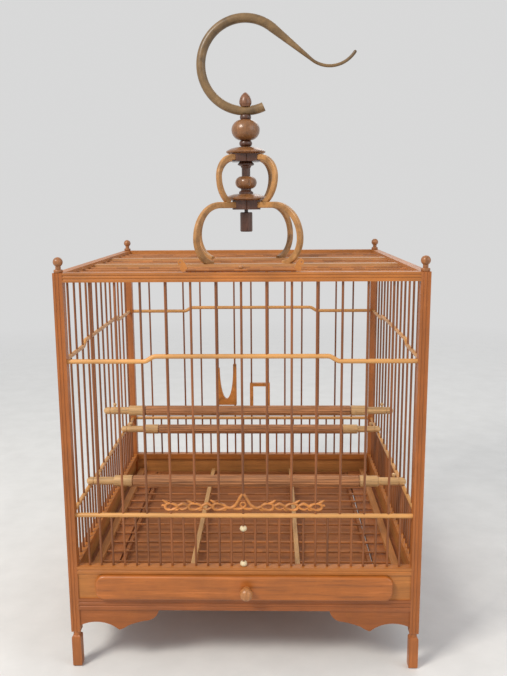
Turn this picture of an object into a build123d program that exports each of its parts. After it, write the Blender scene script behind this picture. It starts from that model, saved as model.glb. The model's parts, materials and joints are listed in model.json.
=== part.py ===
from build123d import *

import math
import os

# Square bamboo bird cage with a lifting door, a pull-out tray and a swivel hook.
# Millimetres, +Z up. X runs left to right and Y from the front wall to the back wall.
# The origin is on the ground under the middle of the whole part, drawer knob included.
# The pieces are drawn about the middle of the posts and moved there when they are written.

# Frame
cage_width = 360.0          # over the posts, left to right
cage_depth = 360.0          # over the posts, front to back
post_side = 9.5
post_top = 413.0            # top of the posts and of the top rails
post_bottom = 39.5          # where the square post ends and the turned foot begins
flute_radius = 1.1          # round grooves along posts and rails
flute_depth = 0.7
flutes_per_face = 2

# Rails and boards
top_rail_height = 9.0
sill_top = 112.0            # top of the rails that carry the feet of the bars
sill_height = 7.5
board_height = 27.5         # plain boards between sill and apron rail
board_thickness = 5.5
board_recess = 1.2          # boards stand back from the rail faces
apron_rail_height = 12.5

# Bars and hoops
bar_diameter = 2.4
gaps_per_wall = 28
hoop_diameter = 4.6
lower_hoop_z = 166.6
upper_hoop_z = 326.0
hoop_step = 5.0             # the middle of each upper hoop is bent up by this
hoop_step_half = 86.0       # half length of the raised middle
hoop_step_run = 8.0         # length of each slanted stretch
hoop_bend_radius = 8.0
hoop_seat = 2.2             # how far a hoop enters a post
bar_seat = 4.5              # how far a bar enters a rail
hoop_bar_seat = 3.4         # how far a short bar enters the lower hoop
fit_gap = 0.05              # radial room round fixed bars and pegs
slide_gap = 0.09            # radial room round moving bars and the spindle

# Roof
roof_bar_seat = 3.0
roof_bar_drop = 4.4         # roof bar axes below the post tops
bearer_y = 45.5             # two flat slats that carry the feet of the claw
bearer_width = 17.0
bearer_thickness = 5.0
bearer_drop = 2.0           # slat tops below the post tops

# Post ornaments
finial_ring_diameter = 8.8
finial_ring_height = 3.2
finial_neck_diameter = 5.2
finial_ball_diameter = 9.4
finial_height = 15.0
foot_neck_diameter = 7.6
foot_neck_height = 4.2
foot_shoulder = 3.4         # rounding of the foot's upper edges
foot_sole_round = 1.6       # rounding of its lower edges

# Corner brackets under the apron rails
bracket_length = 82.5
bracket_drop = 23.0
bracket_thickness = 5.0

# Door in the front wall
door_bar_count = 5
door_bar_seat = 2.2         # how far a door bar enters the rail and the rod
door_rail_lift = 2.4        # carved rail above the lower hoop
door_rail_thickness = 5.2
door_eye_width = 15.0       # carved eyes, one at each bar
door_eye_height = 9.6
door_eye_hole_width = 8.6
door_eye_hole_height = 3.8
door_stem_width = 3.4
door_wave = 3.6             # swing of the carved stem between the eyes
door_peak = 20.0            # middle peak above the rail's lower edge
door_guide_gap = 0.2        # radial room where the end eyes slide on their bars
door_rod_diameter = 3.6
door_rod_overhang = 4.0     # past the outer door bars
door_rod_gap = 0.3          # between the rod and the top rail
door_scroll_radius = 5.6
door_scroll_thickness = 3.2
door_knob_diameter = 5.0
door_knob_end = 2.6
door_knob_height = 3.6

# Drop pin that locks the tray
pin_diameter = 2.2
pin_top = 173.4
pin_tip_lift = 1.0          # tip above the sill's underside when the tray is free
pin_socket_depth = 6.5
bead_diameter = 7.2
bead_height = 5.2
bead_z = 152.6
bush_height = 5.0

# Drawer and tray
drawer_panel_width = 304.0
drawer_panel_thickness = 5.6
drawer_panel_corner = 9.0
drawer_panel_round = 3.2    # pillow rounding of its front edges
drawer_gap = 0.4
drawer_board_back = 0.5     # drawer board's inner face behind the posts' inner faces
opening_half = 141.0        # half width of the opening between the board ends
tray_side_gap = 1.5
tray_wall = 4.0
tray_floor_thickness = 2.0
tray_height = 8.0
tray_back_gap = 3.0
knob_x = 3.0                # the hand-fitted knob sits a little right of the middle
knob_drop = 1.2
knob_diameter = 13.0
knob_neck_diameter = 9.0
knob_reach = 13.0
knob_spigot_diameter = 5.0
knob_spigot_length = 4.0
runner_x = 112.0
runner_width = 12.0
runner_height = 7.0
runner_gap = 0.2            # under the tray

# Floor grate
grate_clearance = 0.8       # over the tray walls
ledge_gap = 1.8             # between a ledge and the side of the tray
ledge_height = 5.0
batten_height = 6.0
side_batten_width = 8.0
side_batten_gap = 7.0       # between the side battens and the side boards
batten_end_gap = 5.5        # between the battens' ends and the sills
middle_batten_x = 57.0
middle_batten_width = 5.0
grate_bar_seat = 4.0

# Perches
perch_diameter = 12.4
perch_end_diameter = 8.8
perch_past_bars = 2.25      # the slotted ends reach this far past the bar axes
perch_flute_half = 125.0
perch_flutes = 12
perch_flute_depth = 0.5
perch_ring_diameter = 12.8
perch_ring_width = 4.6
perch_groove = 1.2
perch_shoulder = 147.0
perch_cap_length = 7.5
perch_upper_z = 227.0
perch_row = 8               # lower perches, counted in bar gaps from the middle
perch_rest_gap = 0.1        # lower perches above the hoops they lie on
perch_slot_gap = 0.15
perch_peg_inset = 13.5      # from the tip of the perch
perch_peg_ball = 4.4
perch_peg_stem = 2.2
perch_peg_height = 5.4

# Claw under the hook
claw_turn = 4.0             # degrees that the claw is turned about the spindle
hub_side = 32.0
hub_reach = 19.9            # axis to the corner flats that the strips butt against
hub_seam = 0.8              # groove down the middle of each hub face
lower_hub_rise = 57.6       # lower hub above the post tops
lower_hub_height = 10.6
lower_disc_diameter = 50.0
lower_disc_height = 7.5
disc_edge = 1.4
disc_bevel = 1.6
disc_top_diameter = 19.0
column_foot_diameter = 16.6
column_foot_height = 5.6
melon_diameter = 24.9
melon_end_diameter = 12.0
melon_height = 14.4
melon_lobes = 5
melon_groove = 1.7
stem_diameter = 9.9
stem_height = 10.2
flare_diameter = 19.0
flare_height = 6.4
upper_hub_height = 8.5
upper_disc_diameter = 45.5
upper_disc_height = 7.7
lower_strip_thickness = 7.0
lower_strip_width = 5.0
lower_bulge_radius = 81.0   # axis to the middle of the strip at its widest
lower_shoulder_radius = 37.0
lower_foot_turn = 80.5      # degrees that the strip curls inwards above its foot
upper_strip_thickness = 6.2
upper_strip_width = 4.8
upper_bulge_radius = 44.5
upper_shoulder_radius = 22.0
upper_foot_turn = 57.8
strip_round = 1.3

# Hook and spindle
spindle_diameter = 4.4
retainer_gap = 3.1          # between the lower hub and the retaining peg
retainer_diameter = 14.4
retainer_length = 22.5
retainer_seat = 17.0
small_bead_gap = 0.6
small_bead_diameter = 15.0
small_bead_end = 10.0
small_bead_height = 7.2
big_bead_diameter = 32.6
big_bead_end = 13.4
big_bead_height = 22.8
collar_diameter = 13.0
collar_height = 5.4
hook_diameter = 10.4
hook_radius = 50.3
hook_flat = 0.7             # seats for collar and nut cut into the hook
hook_tail_angle = 24.5      # the tail ends this far past the spindle
hook_slope = 38.0           # fall of the straight stretch, in degrees
hook_straight = 56.0
hook_tip_radius = 34.0
hook_tip_turn = 94.0
hook_tip_diameter = 3.6
nut_diameter = 14.0
nut_base_diameter = 10.6
nut_height = 15.6
nut_tip = 2.4
nut_seat = 8.0

# Brackets on the back wall
bracket_arm_width = 4.8
bracket_arm_depth = 6.0
cup_place = -4              # bar on the left of the cup bracket, counted from the middle
cup_bottom = 187.0
cup_inside_bottom = 196.0
cup_left_top = 242.0
cup_right_top = 247.5
arch_place = 0              # bar on the left of the arch bracket
arch_bottom = 184.0
arch_top = 219.5
arch_beam = 4.6

# Places that follow from the sizes above
half_side = post_side / 2
post_x = cage_width / 2 - half_side
post_y = cage_depth / 2 - half_side
inner_x = post_x - half_side
inner_y = post_y - half_side
middle_place = gaps_per_wall // 2
pitch_x = 2 * inner_x / gaps_per_wall
pitch_y = 2 * inner_y / gaps_per_wall
bar_radius = bar_diameter / 2
hoop_radius = hoop_diameter / 2
rail_bottom = post_top - top_rail_height
sill_bottom = sill_top - sill_height
board_bottom = sill_bottom - board_height
apron_bottom = board_bottom - apron_rail_height
board_outer = half_side - board_recess
board_inner = board_outer - board_thickness
bar_foot_z = sill_top - bar_seat
bar_head_z = rail_bottom + bar_seat
short_bar_top = lower_hoop_z - hoop_radius + hoop_bar_seat
upper_hoop_middle = upper_hoop_z + hoop_step
roof_bar_z = post_top - roof_bar_drop
bearer_top = post_top - bearer_drop
tray_bottom = board_bottom + runner_gap
ledge_top = tray_bottom + tray_height + grate_clearance
grate_bar_z = ledge_top + batten_height / 2
drawer_top = sill_bottom - drawer_gap
drawer_bottom = board_bottom + drawer_gap
door_rail_z = lower_hoop_z + hoop_radius + door_rail_lift + door_eye_height / 2
door_rod_z = post_top + door_rod_gap + door_rod_diameter / 2
lower_hub_z = post_top + lower_hub_rise
lower_disc_z = lower_hub_z + lower_hub_height
column_z = lower_disc_z + lower_disc_height
melon_z = column_z + column_foot_height
stem_z = melon_z + melon_height
flare_z = stem_z + stem_height
upper_hub_z = flare_z + flare_height
upper_disc_z = upper_hub_z + upper_hub_height
small_bead_z = upper_disc_z + upper_disc_height + small_bead_gap
big_bead_z = small_bead_z + small_bead_height
collar_z = big_bead_z + big_bead_height
hook_seat_z = collar_z + collar_height
hook_rod_z = hook_seat_z + hook_diameter / 2 - hook_flat
hook_centre_z = hook_rod_z + hook_radius
nut_z = hook_rod_z + hook_diameter / 2 - hook_flat
retainer_top = lower_hub_z - retainer_gap
front_reach = post_y + board_outer + drawer_gap + drawer_panel_thickness + knob_reach
centre_y = (front_reach - cage_depth / 2) / 2

# Bar places are counted from the middle of a wall, one step for each gap
all_places = range(1 - middle_place, middle_place)
long_places = [k for k in all_places if k % 2 == 0]
short_places = [k for k in all_places if k % 2 == 1]
door_places = range(1 - door_bar_count, door_bar_count, 2)
door_reach = door_bar_count - 1
guide_places = [-door_reach - 2, door_reach + 2]
front_long_places = [k for k in long_places if abs(k) > door_reach]
front_short_places = short_places + [k for k in door_places if k != 0]
roof_places = [
    k for k in long_places
    if abs(abs(k) * pitch_y - bearer_y) > bearer_width / 2 + bar_diameter
]

WALLS = ["front", "back", "left", "right"]


def wall_half(wall):
    """Half the clear length between two posts."""
    return inner_x if wall in ("front", "back") else inner_y


def wall_pitch(wall):
    """Distance between neighbouring bar places."""
    return pitch_x if wall in ("front", "back") else pitch_y


def on_wall(wall, shape):
    """Move a shape drawn along X, facing -Y, to its wall."""
    places = {
        "front": Pos(0, -post_y, 0),
        "back": Pos(0, post_y, 0) * Rot(0, 0, 180),
        "left": Pos(-post_x, 0, 0) * Rot(0, 0, -90),
        "right": Pos(post_x, 0, 0) * Rot(0, 0, 90),
    }
    return places[wall] * shape


def block(x0, x1, y0, y1, z0, z1):
    """Rectangular block between two corners."""
    size = Box(x1 - x0, y1 - y0, z1 - z0, align=(Align.MIN, Align.MIN, Align.MIN))
    return Pos(x0, y0, z0) * size


def upright(x, y, z0, z1, diameter):
    """Round bar on end."""
    bar = Cylinder(diameter / 2, z1 - z0, align=(Align.CENTER, Align.CENTER, Align.MIN))
    return Pos(x, y, z0) * bar


def rod_x(x0, x1, y, z, diameter):
    """Round rod along X."""
    rod = Cylinder(diameter / 2, x1 - x0, align=(Align.CENTER, Align.CENTER, Align.MIN))
    return Pos(x0, y, z) * Rot(0, 90, 0) * rod


def rod_y(x, y0, y1, z, diameter):
    """Round rod along Y."""
    rod = Cylinder(diameter / 2, y1 - y0, align=(Align.CENTER, Align.CENTER, Align.MIN))
    return Pos(x, y1, z) * Rot(90, 0, 0) * rod


def turned(outline):
    """Solid turned about the Z axis from a closed outline of (radius, height) edges."""
    return revolve(Plane.XZ * make_face(outline), Axis.Z)


def turned_points(points):
    """Solid turned about the Z axis from straight-sided (radius, height) corners."""
    return turned(Polyline(*points, close=True).edges())


def bead(bottom, height, end_diameter, diameter, bore):
    """Bored bead with flat ends and a round belly."""
    top = bottom + height
    end = end_diameter / 2
    hole = bore / 2
    return turned([
        Line((hole, bottom), (end, bottom)),
        ThreePointArc((end, bottom), (diameter / 2, (bottom + top) / 2), (end, top)),
        Line((end, top), (hole, top)),
        Line((hole, top), (hole, bottom)),
    ])


def save(name, *pieces):
    """Write one sub-part, which may be several pieces."""
    solids = [solid for piece in pieces for solid in piece.solids()]
    moved = [Pos(0, centre_y, 0) * solid for solid in solids]
    shape = moved[0] if len(moved) == 1 else Compound(children=moved)
    export_step(shape, f"parts/{name}.step")


def fluted_rail(half, bottom, top, grooves):
    """Rail along X with round grooves along its outer face."""
    rail = block(-half, half, -half_side, half_side, bottom, top)
    centre_y = -half_side - flute_radius + flute_depth
    spacing = (top - bottom) / (grooves + 1)
    cuts = [
        rod_x(-half, half, centre_y, bottom + spacing * (n + 1), 2 * flute_radius)
        for n in range(grooves)
    ]
    return rail - cuts


def bar_holes(places, pitch, z0, z1, gap):
    """Upright holes for bars at some places of a wall."""
    return [upright(k * pitch, 0, z0, z1, bar_diameter + 2 * gap) for k in places]


# Posts, finials and feet

def corner_post(side_x, side_y):
    """Square post with grooves on its outer faces and seats for four hoop ends."""
    x = side_x * post_x
    y = side_y * post_y
    post = block(x - half_side, x + half_side, y - half_side, y + half_side, post_bottom, post_top)
    face = half_side + flute_radius - flute_depth
    cuts = []
    for n in range(flutes_per_face):
        along = post_side * ((n + 1) / (flutes_per_face + 1) - 0.5)
        cuts.append(upright(x + side_x * face, y + along, post_bottom, post_top, 2 * flute_radius))
        cuts.append(upright(x + along, y + side_y * face, post_bottom, post_top, 2 * flute_radius))
    hole = hoop_diameter + 2 * fit_gap
    for z in (lower_hoop_z, upper_hoop_z):
        ends_x = sorted((side_x * (inner_x - 1), side_x * (inner_x + hoop_seat)))
        ends_y = sorted((side_y * (inner_y - 1), side_y * (inner_y + hoop_seat)))
        cuts.append(rod_x(ends_x[0], ends_x[1], y, z, hole))
        cuts.append(rod_y(x, ends_y[0], ends_y[1], z, hole))
    return post - cuts


def finial():
    """Turned ring and ball on top of a post."""
    ring = upright(0, 0, post_top, post_top + finial_ring_height, finial_ring_diameter)
    ring = fillet(ring.edges().filter_by(GeomType.CIRCLE), finial_ring_height / 3)
    ball_z = post_top + finial_height - finial_ball_diameter / 2
    neck = upright(0, 0, post_top + finial_ring_height / 2, ball_z, finial_neck_diameter)
    return ring + neck + Pos(0, 0, ball_z) * Sphere(finial_ball_diameter / 2)


def foot():
    """Square foot with domed shoulders under a turned neck."""
    foot_top = post_bottom - foot_neck_height
    body = block(-half_side, half_side, -half_side, half_side, 0, foot_top)
    body = fillet(body.faces().sort_by(Axis.Z)[-1].edges(), foot_shoulder)
    body = fillet(body.faces().sort_by(Axis.Z)[0].edges(), foot_sole_round)
    return body + upright(0, 0, foot_top / 2, post_bottom, foot_neck_diameter)


CORNERS = [(-1, -1), (1, -1), (-1, 1), (1, 1)]


def save_posts():
    """Four posts with their finials and feet."""
    save("corner_posts", *[corner_post(sx, sy) for sx, sy in CORNERS])
    save("post_finials", *[Pos(sx * post_x, sy * post_y, 0) * finial() for sx, sy in CORNERS])
    save("post_feet", *[Pos(sx * post_x, sy * post_y, 0) * foot() for sx, sy in CORNERS])


# Rails, boards and corner brackets

def top_rail(wall):
    """Top rail with seats for the bars, and for the roof on the side walls."""
    half = wall_half(wall)
    pitch = wall_pitch(wall)
    rail = fluted_rail(half, rail_bottom, post_top, 2)
    fixed = front_long_places if wall == "front" else long_places
    cuts = bar_holes(fixed, pitch, rail_bottom, bar_head_z, fit_gap)
    if wall == "front":
        cuts += bar_holes(door_places, pitch, rail_bottom, post_top, slide_gap)
    if wall in ("left", "right"):
        seat = half_side - roof_bar_seat
        roof_hole = bar_diameter + 2 * fit_gap
        cuts += [rod_y(k * pitch, seat, half_side, roof_bar_z, roof_hole) for k in roof_places]
        reach = bearer_width / 2 + fit_gap
        floor = bearer_top - bearer_thickness - fit_gap
        for y in (-bearer_y, bearer_y):
            cuts.append(block(y - reach, y + reach, seat, half_side, floor, bearer_top + fit_gap))
    return on_wall(wall, rail - cuts)


def sill(wall):
    """Rail that carries the feet of the bars."""
    pitch = wall_pitch(wall)
    rail = fluted_rail(wall_half(wall), sill_bottom, sill_top, 1)
    long_bars = front_long_places if wall == "front" else long_places
    short_bars = front_short_places if wall == "front" else short_places
    cuts = bar_holes(long_bars + short_bars, pitch, bar_foot_z, sill_top, fit_gap)
    if wall == "front":
        cuts.append(upright(0, 0, sill_bottom, sill_top, pin_diameter + 2 * slide_gap))
    return on_wall(wall, rail - cuts)


def apron_rail(wall):
    """Lower rail with three beads."""
    return on_wall(wall, fluted_rail(wall_half(wall), apron_bottom, board_bottom, 2))


def panel_board(wall):
    """Plain board between sill and apron rail."""
    half = wall_half(wall)
    board = block(-half, half, -board_outer, -board_inner, board_bottom, sill_bottom)
    return on_wall(wall, board)


def front_board_end(side):
    """Short board between a front post and the drawer."""
    x0, x1 = sorted((side * opening_half, side * inner_x))
    board = block(x0, x1, -board_outer, -board_inner, board_bottom, sill_bottom)
    return on_wall("front", board)


def corner_bracket(wall, side):
    """Carved bracket in the corner of post and apron rail."""
    run = bracket_length
    drop = bracket_drop
    outline = [
        Line((0, 0), (run, 0)),
        ThreePointArc((run, 0), (run * 0.965, -drop * 0.30), (run * 0.88, -drop * 0.52)),
        ThreePointArc((run * 0.88, -drop * 0.52), (run * 0.73, -drop * 0.63), (run * 0.60, -drop * 0.80)),
        ThreePointArc((run * 0.60, -drop * 0.80), (run * 0.55, -drop * 0.92), (run * 0.49, -drop)),
        ThreePointArc((run * 0.49, -drop), (run * 0.33, -drop * 0.68), (run * 0.18, -drop * 0.62)),
        ThreePointArc((run * 0.18, -drop * 0.62), (run * 0.08, -drop * 0.68), (0, -drop * 0.80)),
        Line((0, -drop * 0.80), (0, 0)),
    ]
    face = Plane.XZ * make_face(outline)
    plate = Pos(0, -board_outer, 0) * extrude(face, -bracket_thickness)
    plate = Pos(-wall_half(wall), 0, apron_bottom) * plate
    if side > 0:
        plate = mirror(plate, Plane.YZ)
    return on_wall(wall, plate)


def save_frame():
    """Rails, boards and brackets of all four walls."""
    save("top_rail_front", top_rail("front"))
    save("top_rail_back", top_rail("back"))
    save("top_rails_side", top_rail("left"), top_rail("right"))
    save("sill_front", sill("front"))
    save("sills_plain", *[sill(wall) for wall in WALLS[1:]])
    save("apron_rails", *[apron_rail(wall) for wall in WALLS])
    save("panel_boards", *[panel_board(wall) for wall in WALLS[1:]])
    save("front_board_ends", front_board_end(-1), front_board_end(1))
    save("corner_brackets", *[corner_bracket(wall, s) for wall in WALLS for s in (-1, 1)])


# Hoops and bars

def upper_hoop(wall):
    """Upper hoop rod with a raised middle, drilled for the bars."""
    half = wall_half(wall) + hoop_seat
    outer = hoop_step_half + hoop_step_run
    points = [
        (-half, upper_hoop_z),
        (-outer, upper_hoop_z),
        (-hoop_step_half, upper_hoop_middle),
        (hoop_step_half, upper_hoop_middle),
        (outer, upper_hoop_z),
        (half, upper_hoop_z),
    ]
    path = Plane.XZ * FilletPolyline(*points, radius=hoop_bend_radius)
    hoop = sweep(Plane(path @ 0, z_dir=path % 0) * Circle(hoop_radius), path)
    pitch = wall_pitch(wall)
    z0 = upper_hoop_z - hoop_diameter
    z1 = upper_hoop_middle + hoop_diameter
    fixed = front_long_places if wall == "front" else long_places
    cuts = bar_holes(fixed, pitch, z0, z1, fit_gap)
    if wall == "front":
        cuts += bar_holes(door_places, pitch, z0, z1, slide_gap)
    return on_wall(wall, hoop - cuts)


def lower_hoop(wall):
    """Straight lower hoop rod with through holes and blind holes for the bars."""
    half = wall_half(wall) + hoop_seat
    hoop = rod_x(-half, half, 0, lower_hoop_z, hoop_diameter)
    pitch = wall_pitch(wall)
    z0 = lower_hoop_z - hoop_diameter
    z1 = lower_hoop_z + hoop_diameter
    long_bars = front_long_places if wall == "front" else long_places
    short_bars = front_short_places if wall == "front" else short_places
    cuts = bar_holes(long_bars, pitch, z0, z1, fit_gap)
    cuts += bar_holes(short_bars, pitch, z0, short_bar_top, fit_gap)
    if wall == "front":
        cuts.append(upright(0, 0, z0, z1, pin_diameter + 2 * slide_gap))
    return on_wall(wall, hoop - cuts)


def long_bars(wall):
    """Bars from sill to top rail."""
    places = front_long_places if wall == "front" else long_places
    pitch = wall_pitch(wall)
    return [
        on_wall(wall, upright(k * pitch, 0, bar_foot_z, bar_head_z, bar_diameter))
        for k in places
    ]


def short_bars(wall):
    """Bars from sill to lower hoop."""
    places = front_short_places if wall == "front" else short_places
    pitch = wall_pitch(wall)
    return [
        on_wall(wall, upright(k * pitch, 0, bar_foot_z, short_bar_top, bar_diameter))
        for k in places
    ]


def save_walls():
    """Hoops and bars of all four walls."""
    save("upper_hoops", *[upper_hoop(wall) for wall in WALLS])
    save("lower_hoops", *[lower_hoop(wall) for wall in WALLS])
    save("front_long_bars", *long_bars("front"))
    save("front_short_bars", *short_bars("front"))
    save("wall_long_bars", *[bar for wall in WALLS[1:] for bar in long_bars(wall)])
    save("wall_short_bars", *[bar for wall in WALLS[1:] for bar in short_bars(wall)])


def save_roof():
    """Roof bars and the two slats that carry the claw."""
    reach = inner_x + roof_bar_seat
    bars = [rod_x(-reach, reach, k * pitch_y, roof_bar_z, bar_diameter) for k in roof_places]
    save("roof_bars", *bars)
    half = bearer_width / 2
    bottom = bearer_top - bearer_thickness
    slats = [block(-reach, reach, y - half, y + half, bottom, bearer_top) for y in (-bearer_y, bearer_y)]
    save("roof_bearers", *slats)


# Floor grate and tray runners

def save_floor():
    """Runners under the tray and the lift-out grate above it."""
    half = runner_width / 2
    bottom = board_bottom - runner_height
    runners = [
        block(x - half, x + half, -inner_y, inner_y, bottom, board_bottom)
        for x in (-runner_x, runner_x)
    ]
    save("tray_runners", *runners)

    board_x = post_x + board_inner
    ledge_x = opening_half - tray_side_gap + ledge_gap
    ledge_bottom = ledge_top - ledge_height
    ledges = [
        block(x0, x1, -inner_y, inner_y, ledge_bottom, ledge_top)
        for x0, x1 in ((-board_x, -ledge_x), (ledge_x, board_x))
    ]
    save("grate_ledges", *ledges)

    batten_end = inner_y - batten_end_gap
    top = ledge_top + batten_height
    outer = board_x - side_batten_gap
    inner = outer - side_batten_width
    seat = inner + grate_bar_seat
    hole = bar_diameter + 2 * fit_gap
    bar_rows = [k * pitch_y for k in long_places]
    side_battens = []
    for x0, x1 in ((-outer, -inner), (inner, outer)):
        batten = block(x0, x1, -batten_end, batten_end, ledge_top, top)
        side_battens.append(batten - [rod_x(-seat, seat, y, grate_bar_z, hole) for y in bar_rows])
    save("grate_side_battens", *side_battens)
    half = middle_batten_width / 2
    middle_battens = []
    for x in (-middle_batten_x, middle_batten_x):
        batten = block(x - half, x + half, -batten_end, batten_end, ledge_top, top)
        middle_battens.append(batten - [rod_x(-seat, seat, y, grate_bar_z, hole) for y in bar_rows])
    save("grate_middle_battens", *middle_battens)
    save("grate_bars", *[rod_x(-seat, seat, y, grate_bar_z, bar_diameter) for y in bar_rows])


# Drawer

def save_drawer():
    """Drawer front, raised panel, knob and shallow tray."""
    board_front = post_y + board_outer + drawer_gap
    board_back = inner_y + drawer_board_back
    half = opening_half - drawer_gap
    board = block(-half, half, -board_front, -board_back, tray_bottom, drawer_top)
    socket = pin_diameter + 2 * slide_gap
    board -= upright(0, -post_y, drawer_top - pin_socket_depth, drawer_top, socket)
    save("drawer_board", board)

    panel_z = (drawer_bottom + drawer_top) / 2
    panel_height = drawer_top - drawer_bottom
    outline = RectangleRounded(drawer_panel_width, panel_height, drawer_panel_corner)
    panel = extrude(Plane.XZ * outline, drawer_panel_thickness)
    front_face = panel.faces().sort_by(Axis.Y)[0]
    panel = fillet(front_face.edges(), drawer_panel_round)
    panel = Pos(0, -board_front, panel_z) * panel
    knob_z = panel_z - knob_drop
    front = -board_front - drawer_panel_thickness
    hole_end = front + knob_spigot_length
    panel -= rod_y(knob_x, front - 1, hole_end, knob_z, knob_spigot_diameter + 2 * fit_gap)
    save("drawer_panel", panel)

    spigot = knob_spigot_diameter / 2
    neck = knob_neck_diameter / 2
    head = knob_diameter / 2
    waist = knob_reach * 0.5
    crown = head * 0.3
    knob = turned([
        Line((0, -knob_spigot_length), (spigot, -knob_spigot_length)),
        Line((spigot, -knob_spigot_length), (spigot, 0)),
        Line((spigot, 0), (neck, 0)),
        ThreePointArc((neck, 0), (neck + (head - neck) * 0.25, knob_reach * 0.25), (head, waist)),
        ThreePointArc((head, waist), (head * 0.85, knob_reach * 0.85), (crown, knob_reach)),
        Line((crown, knob_reach), (0, knob_reach)),
        Line((0, knob_reach), (0, -knob_spigot_length)),
    ])
    save("drawer_knob", Pos(knob_x, front, knob_z) * Rot(90, 0, 0) * knob)

    tray_half = opening_half - tray_side_gap
    back = post_y + board_inner - tray_back_gap
    floor_top = tray_bottom + tray_floor_thickness
    top = tray_bottom + tray_height
    save("tray_floor", block(-tray_half, tray_half, -board_back, back, tray_bottom, floor_top))
    inside = tray_half - tray_wall
    save(
        "tray_walls",
        block(-tray_half, -inside, -board_back, back, floor_top, top),
        block(inside, tray_half, -board_back, back, floor_top, top),
        block(-inside, inside, back - tray_wall, back, floor_top, top),
    )


# Door

def carved_rail():
    """Carved openwork rail: an eye at each bar, a waving stem and a peak in the middle."""
    eyes = [k * pitch_x for k in [*door_places, *guide_places] if k != 0]
    solid = Sketch()
    holes = []
    for x in eyes:
        solid += Pos(x, 0) * Ellipse(door_eye_width / 2, door_eye_height / 2)
        holes.append(Pos(x, 0) * Ellipse(door_eye_hole_width / 2, door_eye_hole_height / 2))
    reach = guide_places[-1] * pitch_x
    stops = [-reach + n * pitch_x for n in range(2 * guide_places[-1] + 1)]
    wave = [
        (x, door_wave if n % 4 == 1 else -door_wave / 2 if n % 4 == 3 else 0)
        for n, x in enumerate(stops)
    ]
    solid += trace(Spline(*wave), door_stem_width)
    rise = door_peak - door_eye_height / 2
    peak = Polyline(
        (-pitch_x, 0), (-pitch_x * 0.2, rise * 0.92), (pitch_x * 0.2, rise * 0.92), (pitch_x, 0),
        close=True,
    )
    solid += make_face(peak)
    holes.append(Pos(0, rise * 0.38) * Ellipse(pitch_x * 0.34, rise * 0.16))
    for x in eyes:
        side = 1 if x > 0 else -1
        leaf = Rot(0, 0, side * 32) * Ellipse(door_eye_width * 0.34, door_stem_width * 0.42)
        solid += Pos(x + side * door_eye_width * 0.36, door_eye_height * 0.42) * leaf
    solid -= holes
    rail = extrude(Plane.XZ * solid, door_rail_thickness / 2, both=True)
    rail = Pos(0, 0, door_rail_z) * rail
    top = door_rail_z + door_peak
    under = door_rail_z - door_eye_height
    cuts = bar_holes(guide_places, pitch_x, under, top, door_guide_gap)
    for k in door_places:
        cuts.append(upright(k * pitch_x, 0, door_bar_foot(k), top, bar_diameter + 2 * fit_gap))
    return rail - cuts


def door_bar_foot(place):
    """Height at which a door bar stands in the carved rail."""
    if place == 0:
        return door_rail_z + (door_peak - door_eye_height / 2) * 0.92 - 2 * door_bar_seat
    return door_rail_z + door_eye_height / 2 - door_bar_seat


def door_scroll():
    """Small carved scroll on the end of the door rod."""
    outer = Circle(door_scroll_radius * 0.62)
    curl = Pos(door_scroll_radius * 0.55, door_scroll_radius * 0.95) * Circle(door_scroll_radius * 0.48)
    leaf = Pos(door_scroll_radius * 0.1, door_scroll_radius * 0.75) * Rot(0, 0, 55) * Ellipse(
        door_scroll_radius * 0.95, door_scroll_radius * 0.36)
    shape = outer + curl + leaf
    shape -= Pos(door_scroll_radius * 0.58, door_scroll_radius * 0.98) * Circle(door_scroll_radius * 0.16)
    return extrude(Plane.XZ * shape, door_scroll_thickness / 2, both=True)


def save_door():
    """Carved rail, bars and the rod that joins their tops."""
    save("door_carved_rail", on_wall("front", carved_rail()))
    bar_top = door_rod_z - door_rod_diameter / 2 + door_bar_seat
    bars = [upright(k * pitch_x, 0, door_bar_foot(k), bar_top, bar_diameter) for k in door_places]
    save("door_bars", *[on_wall("front", bar) for bar in bars])

    rod_half = door_reach * pitch_x + door_rod_overhang
    rod = rod_x(-rod_half, rod_half, 0, door_rod_z, door_rod_diameter)
    rod -= bar_holes(door_places, pitch_x, door_rod_z - door_rod_diameter, bar_top, fit_gap)
    crown = door_rod_z + door_rod_diameter / 2
    seat = crown - door_rod_diameter / 4
    reach = door_knob_diameter
    rod -= block(-reach, reach, -door_rod_diameter, door_rod_diameter, seat, crown)
    save("door_top_rod", on_wall("front", rod))

    scrolls = []
    for side in (-1, 1):
        scroll = door_scroll()
        if side < 0:
            scroll = mirror(scroll, Plane.YZ)
        out = side * (rod_half + door_scroll_radius * 0.3)
        scroll = Pos(out, 0, door_rod_z + door_scroll_radius * 0.35) * scroll
        scroll -= rod_x(-rod_half, rod_half, 0, door_rod_z, door_rod_diameter + 2 * fit_gap)
        scrolls.append(on_wall("front", scroll))
    save("door_scrolls", *scrolls)
    knob = bead(seat, door_knob_height, door_knob_end, door_knob_diameter, 0)
    save("door_knob", on_wall("front", knob))


def save_pin():
    """Drop pin with its bead, and the bush that guides it on the sill."""
    tip = sill_bottom + pin_tip_lift
    save("drop_pin", on_wall("front", upright(0, 0, tip, pin_top, pin_diameter)))
    bead_bottom = bead_z - bead_height / 2
    upper = bead(bead_bottom, bead_height, bead_diameter / 2, bead_diameter, pin_diameter + 2 * fit_gap)
    save("drop_pin_bead", on_wall("front", upper))
    bush = bead(sill_top, bush_height, bead_diameter * 0.6, bead_diameter, pin_diameter + 2 * slide_gap)
    save("pin_bush", on_wall("front", bush))


# Perches

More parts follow.
